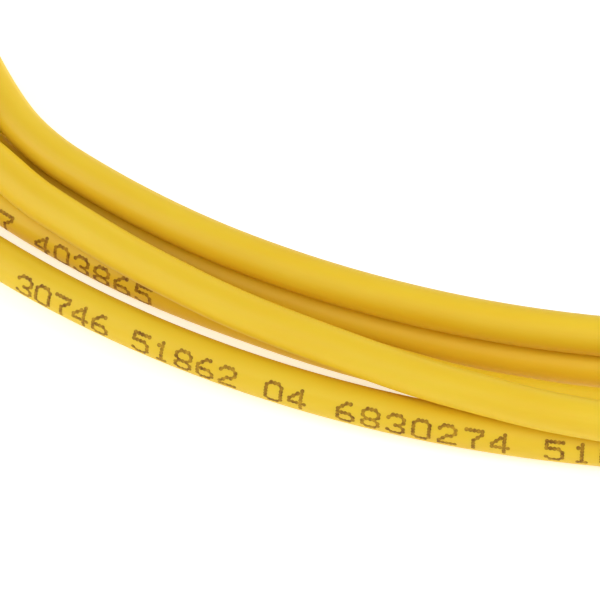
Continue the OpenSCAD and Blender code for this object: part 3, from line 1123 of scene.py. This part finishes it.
@dataclass
class BundleTie:
    """A twist tie round the turns: a ribbon over a wire, its two ends twisted and laid inward.

    It stands for a node, and lies at an angle on the coil, in degrees.
    """

    name: str
    node: str
    at: float
    width: float = 4.0 * MM
    gap: float = 0.06 * MM
    floor_gap: float = 0.02 * MM
    hull_sides: int = 48
    ribbon_steps: int = 96
    # the ribbon's thickness at its wings and over the wire, and the wire's place in half widths
    wing: float = 0.22 * MM
    core: float = 0.5 * MM
    core_shoulder: float = 0.43 * MM
    core_foot: float = 0.42
    core_side: float = 0.26
    # the twisted ends
    tail_len: float = 12.0 * MM
    tail_turns: float = 2.5
    tail_rings: int = 60
    tail_apart: float = 0.24 * MM
    tail_half_width: float = 0.9 * MM
    tail_half_depth: float = 0.13 * MM
    tip_from: float = 0.93
    tip_share: float = 0.7
    # one end's cross-section, in half widths and half depths
    tail_profile: tuple[tuple[float, float], ...] = (
        (-1, -1), (1, -1), (1, 1), (0.3, 1), (0, 1.9), (-0.3, 1), (-1, 1))

    def __post_init__(self) -> None:
        """Finds the way outward from the coil's middle and the way along its turns."""
        self.away = level(self.at)
        self.along = UP.cross(self.away)

    def loop(self, cord: Cord) -> list[Vector]:
        """The ribbon's loop: the hull of the turns at the tie, in even steps.

        Args:
            cord: the cord.

        Returns:
            Points as distance from the coil's middle and height, in order.
        """
        radius = cord.radius + self.gap
        points = []
        for p in cord.line.points:
            local = p - cord.route.coil_mid
            if local.dot(self.away) > 0 and abs(local.dot(self.along)) < self.width / 2.0:
                for k in range(self.hull_sides):
                    b = math.tau * k / self.hull_sides
                    points.append(Vector((local.dot(self.away) + radius * math.cos(b),
                                          p.z + radius * math.sin(b))))
        corners = [points[i] for i in convex_hull_2d(points)]
        hull = MeasuredLine(corners + corners[:1])
        return [hull.point(hull.length * n / self.ribbon_steps) for n in range(self.ribbon_steps)]

    def profile(self) -> list[tuple[float, float]]:
        """The ribbon's cross-section.

        Returns:
            Points as place across it, in half widths, and height from the turns, in metres.
        """
        left = [(-self.core_side, self.core_shoulder), (-self.core_foot, self.wing), (-1.0, self.wing)]
        right = [(-across, height) for across, height in reversed(left)]
        return [(-1.0, 0.0), (1.0, 0.0), *right, (0.0, self.core), *left]

    def build(self, cord: Cord, material: Material) -> None:
        """Makes the tie.

        Args:
            cord: the cord that it holds.
            material: its material.
        """
        middle = cord.route.coil_mid
        loop = self.loop(cord)
        tie = Shells()
        self.add_ribbon(tie, middle, loop)
        inner = min(loop, key=lambda spot: spot.x)
        self.add_tail(tie, middle + self.away * inner.x + UP * inner.y)
        piece = new_piece(tie.mesh(self.name, sharp_over=50.0), material, ROOT_BODY, "tie_white")
        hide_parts(self.node)
        LOG.info("%s: ribbon round %d points and a twisted tail", self.name, len(loop))

    def add_ribbon(self, tie: Shells, middle: Vector, loop: Sequence[Vector]) -> None:
        """Adds the ribbon.

        Args:
            tie: the tie so far.
            middle: the coil's middle.
            loop: where the ribbon runs, as distance from the middle and height.
        """
        profile = self.profile()
        verts: list[Vector] = []
        for i, spot in enumerate(loop):
            run = (loop[(i + 1) % len(loop)] - loop[i - 1]).normalized()
            out = Vector((run.y, -run.x))
            for across, height in profile:
                q = spot + out * height
                aside = self.along * across * self.width / 2.0
                verts.append(middle + self.away * q.x + UP * max(q.y, self.floor_gap) + aside)
        tie.add(verts, grid_faces(len(loop), len(profile), closed=True))

    def add_tail(self, tie: Shells, start: Vector) -> None:
        """Adds the two ends, twisted round each other and laid towards the coil's middle.

        Args:
            tie: the tie so far.
            start: where they start.
        """
        for strand in (0.0, math.pi):
            verts: list[Vector] = []
            for i in range(self.tail_rings + 1):
                u = i / self.tail_rings
                turn = strand + math.tau * self.tail_turns * u
                out, flat = around(UP, self.along, turn), around(self.along, -UP, turn)
                centre = start - self.away * (self.tail_len * u) + out * self.tail_apart
                half_width = self.tail_half_width * (1.0 if u < self.tip_from else self.tip_share)
                verts += [centre + flat * (a * half_width) + out * (b * self.tail_half_depth)
                          for a, b in self.tail_profile]
            tie.add(verts, capped_tube(self.tail_rings + 1, len(self.tail_profile)))


# ---- the plugs --------------------------------------------------------------------------------


@dataclass
class Plug:
    """A push-pull plug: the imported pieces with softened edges, a moulded boot and a wound spring."""

    end: End
    route: CordRoute
    # the boot, from its cable end: its outside, its slots and its bore
    boot_len: float = 30.0 * MM
    boot_collar: float = 4.0 * MM
    boot_rear_r: float = 2.4 * MM
    boot_front_r: float = 2.8 * MM
    boot_sides: int = 96
    boot_slots: int = 7
    slot_margin: float = 1.5 * MM
    slot_w: float = 1.3 * MM
    slot_d: float = 0.45 * MM
    slot_least_facing: float = 0.2
    bore_r: float = 1.6 * MM
    bore_len: float = 18.0 * MM
    bore_slope: float = 0.4 * MM
    sleeve_r: float = 2.1 * MM
    mouth_r: float = 2.3 * MM
    mouth_depth: float = 5.0 * MM
    soft_edge: float = 0.14 * MM
    edge_rings: int = 4
    beside_edge: float = 0.02 * MM
    # the spring
    ferrule_travel: float = 1.5 * MM
    spring_curls: int = 5
    curl_steps: int = 32
    wire_r: float = 0.25 * MM
    wire_sides: int = 12
    # how far the housings' edges are rounded, and what counts as a flat and as an edge, in degrees
    bevels: dict[PlugPart, float] = field(default_factory=lambda: {
        PlugPart.GRIP: 0.16 * MM, PlugPart.PLUG_FRAME: 0.08 * MM, PlugPart.DUST_CAP: 0.12 * MM})
    bevel_steps: int = 2
    weld_within: float = 0.001 * MM
    flat_under: float = 1.0
    edge_over: float = 35.0

    def __post_init__(self) -> None:
        """Finds where the plug lies and the way that it points."""
        self.origin = self.route.on_plug(self.end, 0.0)
        self.run = self.route.heading(self.end)

    def node(self, part: PlugPart) -> str:
        """The name of a piece's node."""
        return f"{part.value}_{self.end.value}"

    def slot(self, part: PlugPart) -> str:
        """The material slot that the record gives a piece."""
        pieces = frame["record"]["subparts"]
        return next(piece["material_slot"] for piece in pieces if piece["node"] == self.node(part))

    def body(self, part: PlugPart) -> str:
        """The body that a housing moves with."""
        moving = {PlugPart.GRIP: "grip", PlugPart.DUST_CAP: "cap"}
        return f"{moving[part]}_{self.end.value}" if part in moving else ROOT_BODY

    def build(self, finishes: dict[PlugPart, Material]) -> None:
        """Makes or dresses each piece of the plug.

        Args:
            finishes: the material for each kind of piece.
        """
        self.build_boot(finishes[PlugPart.BOOT])
        self.build_spring(finishes[PlugPart.SPRING])
        for part, width in self.bevels.items():
            self.soften(part, width, finishes[part])
        for part, material in finishes.items():
            if part not in (PlugPart.BOOT, PlugPart.SPRING, *self.bevels):
                self.dress(part, material)

    def dress(self, part: PlugPart, material: Material) -> None:
        """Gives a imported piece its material.

        Args:
            part: which piece.
            material: its material.
        """
        node = self.node(part)
        mesh = frame["nodes"][node].data
        mesh.materials.clear()
        mesh.materials.append(material)
        LOG.info("%s: dressed as %s", node, material.name)

    def soften(self, part: PlugPart, width: float, material: Material) -> None:
        """Replaces a packed housing by a copy with rounded edges.

        Args:
            part: which housing.
            width: how far the edges are rounded.
            material: its material.
        """
        node = self.node(part)
        work = bmesh.new()
        work.from_mesh(frame["nodes"][node].data)
        bmesh.ops.remove_doubles(work, verts=work.verts, dist=self.weld_within)
        bmesh.ops.dissolve_limit(work, angle_limit=math.radians(self.flat_under), verts=work.verts,
                                 edges=work.edges)
        limit = math.radians(self.edge_over)
        sharp = [edge for edge in work.edges if edge.is_manifold and edge.calc_face_angle(0.0) > limit]
        bmesh.ops.bevel(work, geom=sharp, offset=width, offset_type="OFFSET", segments=self.bevel_steps,
                        profile=0.5, affect="EDGES", clamp_overlap=True)
        bmesh.ops.triangulate(work, faces=[face for face in work.faces if len(face.verts) > 4])
        mesh = bpy.data.meshes.new(f"{node}_moulded")
        work.to_mesh(mesh)
        work.free()
        shade_smooth(mesh, sharp_over=30.0)
        piece = new_piece(mesh, material, self.body(part), self.slot(part))
        even_normals(piece)
        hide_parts(node)
        LOG.info("%s: %d faces", piece.name, len(mesh.polygons))

    def build_spring(self, material: Material) -> None:
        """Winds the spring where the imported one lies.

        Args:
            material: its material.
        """
        node = self.node(PlugPart.SPRING)
        left = UP.cross(self.run)
        spots = [v.co - self.origin for v in frame["nodes"][node].data.vertices]
        along = [spot.dot(self.run) for spot in spots]
        rear, length = min(along), max(along) - min(along)
        coil_r = max((spot - self.run * spot.dot(self.run)).length for spot in spots) - self.wire_r
        steps = self.curl_steps * self.spring_curls
        pitch = (length - 2.0 * self.wire_r) / steps
        arc = math.tau * coil_r / self.curl_steps
        verts: list[Vector] = []
        for i in range(steps + 1):
            a = math.tau * i / self.curl_steps
            out = around(left, UP, a)
            centre = self.origin + self.run * (rear + self.wire_r + pitch * i) + out * coil_r
            lean = self.run * pitch + around(UP, -left, a) * arc
            across = lean.normalized().cross(out)
            verts += [centre + around(out, across, math.tau * k / self.wire_sides) * self.wire_r
                      for k in range(self.wire_sides)]
        spring = Shells()
        spring.add(verts, capped_tube(steps + 1, self.wire_sides))
        mesh = spring.mesh(f"{node}_wound", sharp_over=40.0)
        piece = new_piece(mesh, material, ROOT_BODY, self.slot(PlugPart.SPRING))
        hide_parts(node)
        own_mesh(piece)
        LOG.info("%s: %.2f mm long", piece.name, length / MM)

    def boot_r(self, x: float) -> float:
        """The boot's outer radius without its slots, at a distance from its cable end."""
        flare = self.boot_len - self.boot_collar
        return self.boot_rear_r + (self.boot_front_r - self.boot_rear_r) * min(1.0, x / flare)

    def slot_starts(self) -> list[float]:
        """Where the boot's slots start.

        Returns:
            Distances from its cable end, in metres.
        """
        span = self.boot_len - self.boot_collar - 2 * self.slot_margin - self.slot_w
        return [self.slot_margin + span * i / (self.boot_slots - 1) for i in range(self.boot_slots)]

    def boot_surface(self, x: float, a: float) -> float:
        """The boot's outer radius at a place, with its soft lips and its slots.

        The slots are flat cuts: the first from above and below, the next from left and right, and
        so on in turn.

        Args:
            x: how far along the boot from its cable end.
            a: the angle round it.

        Returns:
            The radius, in metres.
        """
        r = self.boot_r(x)
        for distance in (x, self.boot_len - x):
            lip = min(1.0, distance / self.soft_edge)
            r -= self.soft_edge * (1.0 - math.sqrt(1.0 - (1.0 - lip) ** 2))
        for i, start in enumerate(self.slot_starts()):
            inside = min(x - start, start + self.slot_w - x)
            if inside > 0.0:
                facing = math.cos(a + (math.pi / 2.0) * ((i + 1) % 2))
                floor = (self.boot_r(start) - self.slot_d) / max(abs(facing), self.slot_least_facing)
                r += (min(r, floor) - r) * ease(inside / self.soft_edge)
        return r

    def boot_stations(self) -> list[tuple[float, float]]:
        """Places along the boot: its outer surface forward, then its bore back.

        Returns:
            Pairs of the distance from its cable end and the bore's radius, or 0 on the outer surface.
        """
        rounding = [self.soft_edge * n / self.edge_rings for n in range(self.edge_rings + 1)]
        marks = {self.boot_len - self.boot_collar}
        marks |= {self.soft_edge + self.beside_edge, self.boot_len - self.soft_edge - self.beside_edge}
        marks |= set(rounding) | {self.boot_len - part for part in rounding}
        for start in self.slot_starts():
            end = start + self.slot_w
            marks |= {start - self.beside_edge, end + self.beside_edge}
            marks |= {start + part for part in rounding} | {end - part for part in rounding}
        outer = [(x, 0.0) for x in sorted(marks)]
        mouth_end = self.boot_len - self.mouth_depth
        bore = [(self.boot_len, self.mouth_r), (mouth_end, self.mouth_r),
                (self.bore_len + self.bore_slope, self.sleeve_r), (self.bore_len, self.bore_r),
                (0.0, self.bore_r)]
        return outer + bore

    def build_boot(self, material: Material) -> None:
        """Makes the boot.

        Args:
            material: its material.
        """
        stations = self.boot_stations()
        side = self.run.cross(UP)
        verts: list[Vector] = []
        for x, inner in stations:
            for k in range(self.boot_sides):
                a = math.tau * k / self.boot_sides
                r = inner or self.boot_surface(x, a)
                verts.append(self.origin + self.run * x + around(side, UP, a) * r)
        boot = Shells()
        boot.add(verts, grid_faces(len(stations), self.boot_sides, closed=True))
        mesh = boot.mesh(f"{self.node(PlugPart.BOOT)}_moulded", sharp_over=35.0)
        piece = new_piece(mesh, material, ROOT_BODY, self.slot(PlugPart.BOOT))
        even_normals(piece)
        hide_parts(self.node(PlugPart.BOOT))
        LOG.info("%s: %d rings", piece.name, len(stations))


def plug_finishes() -> dict[PlugPart, Material]:
    """Makes the materials of the plugs.

    Returns:
        The material of each kind of piece.
    """
    steel = Metal("machined_steel", (0.62, 0.62, 0.64))
    finishes: dict[PlugPart, Finish] = {
        PlugPart.BOOT: Moulded("soft_blue", linear(22, 84, 164), roughness=(0.45, 0.6)),
        PlugPart.GRIP: Moulded("moulded_blue", linear(24, 92, 176)),
        PlugPart.PLUG_FRAME: Moulded("moulded_white", linear(220, 220, 213)),
        PlugPart.DUST_CAP: Moulded("cap_plastic", linear(226, 234, 238), roughness=(0.25, 0.35),
                                   transmission=0.35),
        PlugPart.GUIDE_TUBE: Moulded("guide_plastic", linear(232, 230, 220)),
        PlugPart.FERRULE: Moulded("zirconia", linear(228, 227, 221), roughness=(0.08, 0.14),
                                  grain_depth=0.001 * MM),
        PlugPart.BUFFERED_FIBER: Moulded("buffer_plastic", linear(240, 236, 214)),
        PlugPart.STOP_RING: steel,
        PlugPart.FERRULE_FLANGE: steel,
        PlugPart.SPRING: Metal("spring_wire", (0.5, 0.5, 0.52)),
        PlugPart.CRIMP_SLEEVE: Metal("crimped_brass", (0.72, 0.56, 0.3)),
        PlugPart.ARAMID_YARN: Yarn(),
    }
    made = {finish: finish.build() for finish in dict.fromkeys(finishes.values())}
    return {part: made[finish] for part, finish in finishes.items()}


# ---- studio -----------------------------------------------------------------------------------


@dataclass(frozen=True)
class SoftBox:
    """A square soft light that faces the point that the camera looks at."""

    name: str
    offset: Triple
    size: float
    power: float

    def build(self, middle: Vector) -> None:
        """Makes the light.

        Args:
            middle: the point that it faces.
        """
        data = bpy.data.lights.new(self.name, "AREA")
        data.size = self.size
        data.energy = self.power
        light = bpy.data.objects.new(self.name, data)
        bpy.context.scene.collection.objects.link(light)
        light.location = middle + Vector(self.offset)
        light.rotation_mode = "QUATERNION"
        light.rotation_quaternion = (-Vector(self.offset)).to_track_quat("-Z", "Y")


@dataclass
class Studio:
    """The camera, the lights and the floor."""

    route: CordRoute
    # the camera looks along +Y and down; its sensor is in millimetres
    elevation: float = 46.0
    distance: float = 500.0 * MM
    seen_width: float = 45.0 * MM
    sensor: float = 36.0
    clip: tuple[float, float] = (0.01, 20.0)
    target: Triple = (-32.58 * MM, -70.96 * MM, 1.43 * MM)
    world_strength: float = 0.15
    floor_reach: float = 8.0
    lights: tuple[SoftBox, ...] = (
        SoftBox("front", (0.0, -0.58, 0.69), 0.9, 2.6),
        SoftBox("back", (0.0, 0.65, 0.5), 0.6, 0.45),
        SoftBox("left", (-0.7, -0.1, 0.5), 0.7, 2.9),
        SoftBox("right", (0.7, -0.1, 0.5), 0.7, 3.6),
        SoftBox("low_left", (-0.78, -0.1, 0.16), 0.45, 1.1),
        SoftBox("low_right", (0.75, -0.1, 0.22), 0.4, 3.2),
    )

    def build(self) -> None:
        """Sets up the camera, the lights and the floor."""
        middle = self.route.coil_mid + Vector(self.target)
        self.add_camera(middle)
        self.add_world()
        for light in self.lights:
            light.build(middle)
        self.add_floor()
        bpy.context.scene.view_settings.view_transform = "Standard"
        LOG.info("studio: a camera, %d lights and a floor", len(self.lights))

    def add_camera(self, middle: Vector) -> None:
        """Makes the camera.

        Args:
            middle: the point that it looks at.
        """
        data = bpy.data.cameras.new("camera")
        data.sensor_width = self.sensor
        data.lens = self.sensor * self.distance / self.seen_width
        data.clip_start, data.clip_end = self.clip
        camera = bpy.data.objects.new("camera", data)
        bpy.context.scene.collection.objects.link(camera)
        a = math.radians(self.elevation)
        back = Vector((0.0, -math.cos(a), math.sin(a)))
        camera.location = middle + back * self.distance
        camera.rotation_mode = "QUATERNION"
        camera.rotation_quaternion = (-back).to_track_quat("-Z", "Y")
        bpy.context.scene.camera = camera

    def add_world(self) -> None:
        """Makes the even light from all round, which looks white where it is seen or mirrored."""
        world = bpy.data.worlds.new("studio_light")
        g = Graph(world)
        lit = g.add("ShaderNodeBackground", Color=(*WHITE, 1.0), Strength=self.world_strength)
        seen = g.add("ShaderNodeBackground", Color=(*WHITE, 1.0), Strength=1.0)
        path = g.add("ShaderNodeLightPath")
        rays = path.outputs["Is Camera Ray"]
        for kind in ("Is Glossy Ray", "Is Transmission Ray"):
            either = g.add("ShaderNodeMath", {"operation": "MAXIMUM"}, in_0=rays,
                           in_1=path.outputs[kind])
            rays = either.outputs[0]
        g.show(g.add("ShaderNodeMixShader", in_0=rays, in_1=lit.outputs[0], in_2=seen.outputs[0]))
        bpy.context.scene.world = world

    def add_floor(self) -> None:
        """Makes the floor."""
        reach = self.floor_reach
        mesh = bpy.data.meshes.new("floor")
        corners = [(x * reach, y * reach, 0.0) for x, y in ((-1, -1), (1, -1), (1, 1), (-1, 1))]
        mesh.from_pydata(corners, [], [(0, 1, 2, 3)])
        mesh.materials.append(PaleGround().build())
        floor = bpy.data.objects.new("floor", mesh)
        bpy.context.scene.collection.objects.link(floor)


def main() -> None:
    """Builds everything, the camera and the cord first."""
    logging.basicConfig(level=logging.INFO, format="%(name)s: %(message)s")
    route = CordRoute()
    Studio(route).build()
    cord = Cord(route)
    cord.build(JacketPvc().build(), PrintInk().build())
    ribbon = Moulded("tie_ribbon", linear(236, 236, 232), roughness=(0.4, 0.55)).build()
    BundleTie("tie_left_ribbon", "tie_left", 180.0).build(cord, ribbon)
    BundleTie("tie_right_ribbon", "tie_right", 0.0).build(cord, ribbon)
    finishes = plug_finishes()
    for end in End:
        Plug(end, route).build(finishes)


if __name__ == "__main__":
    main()
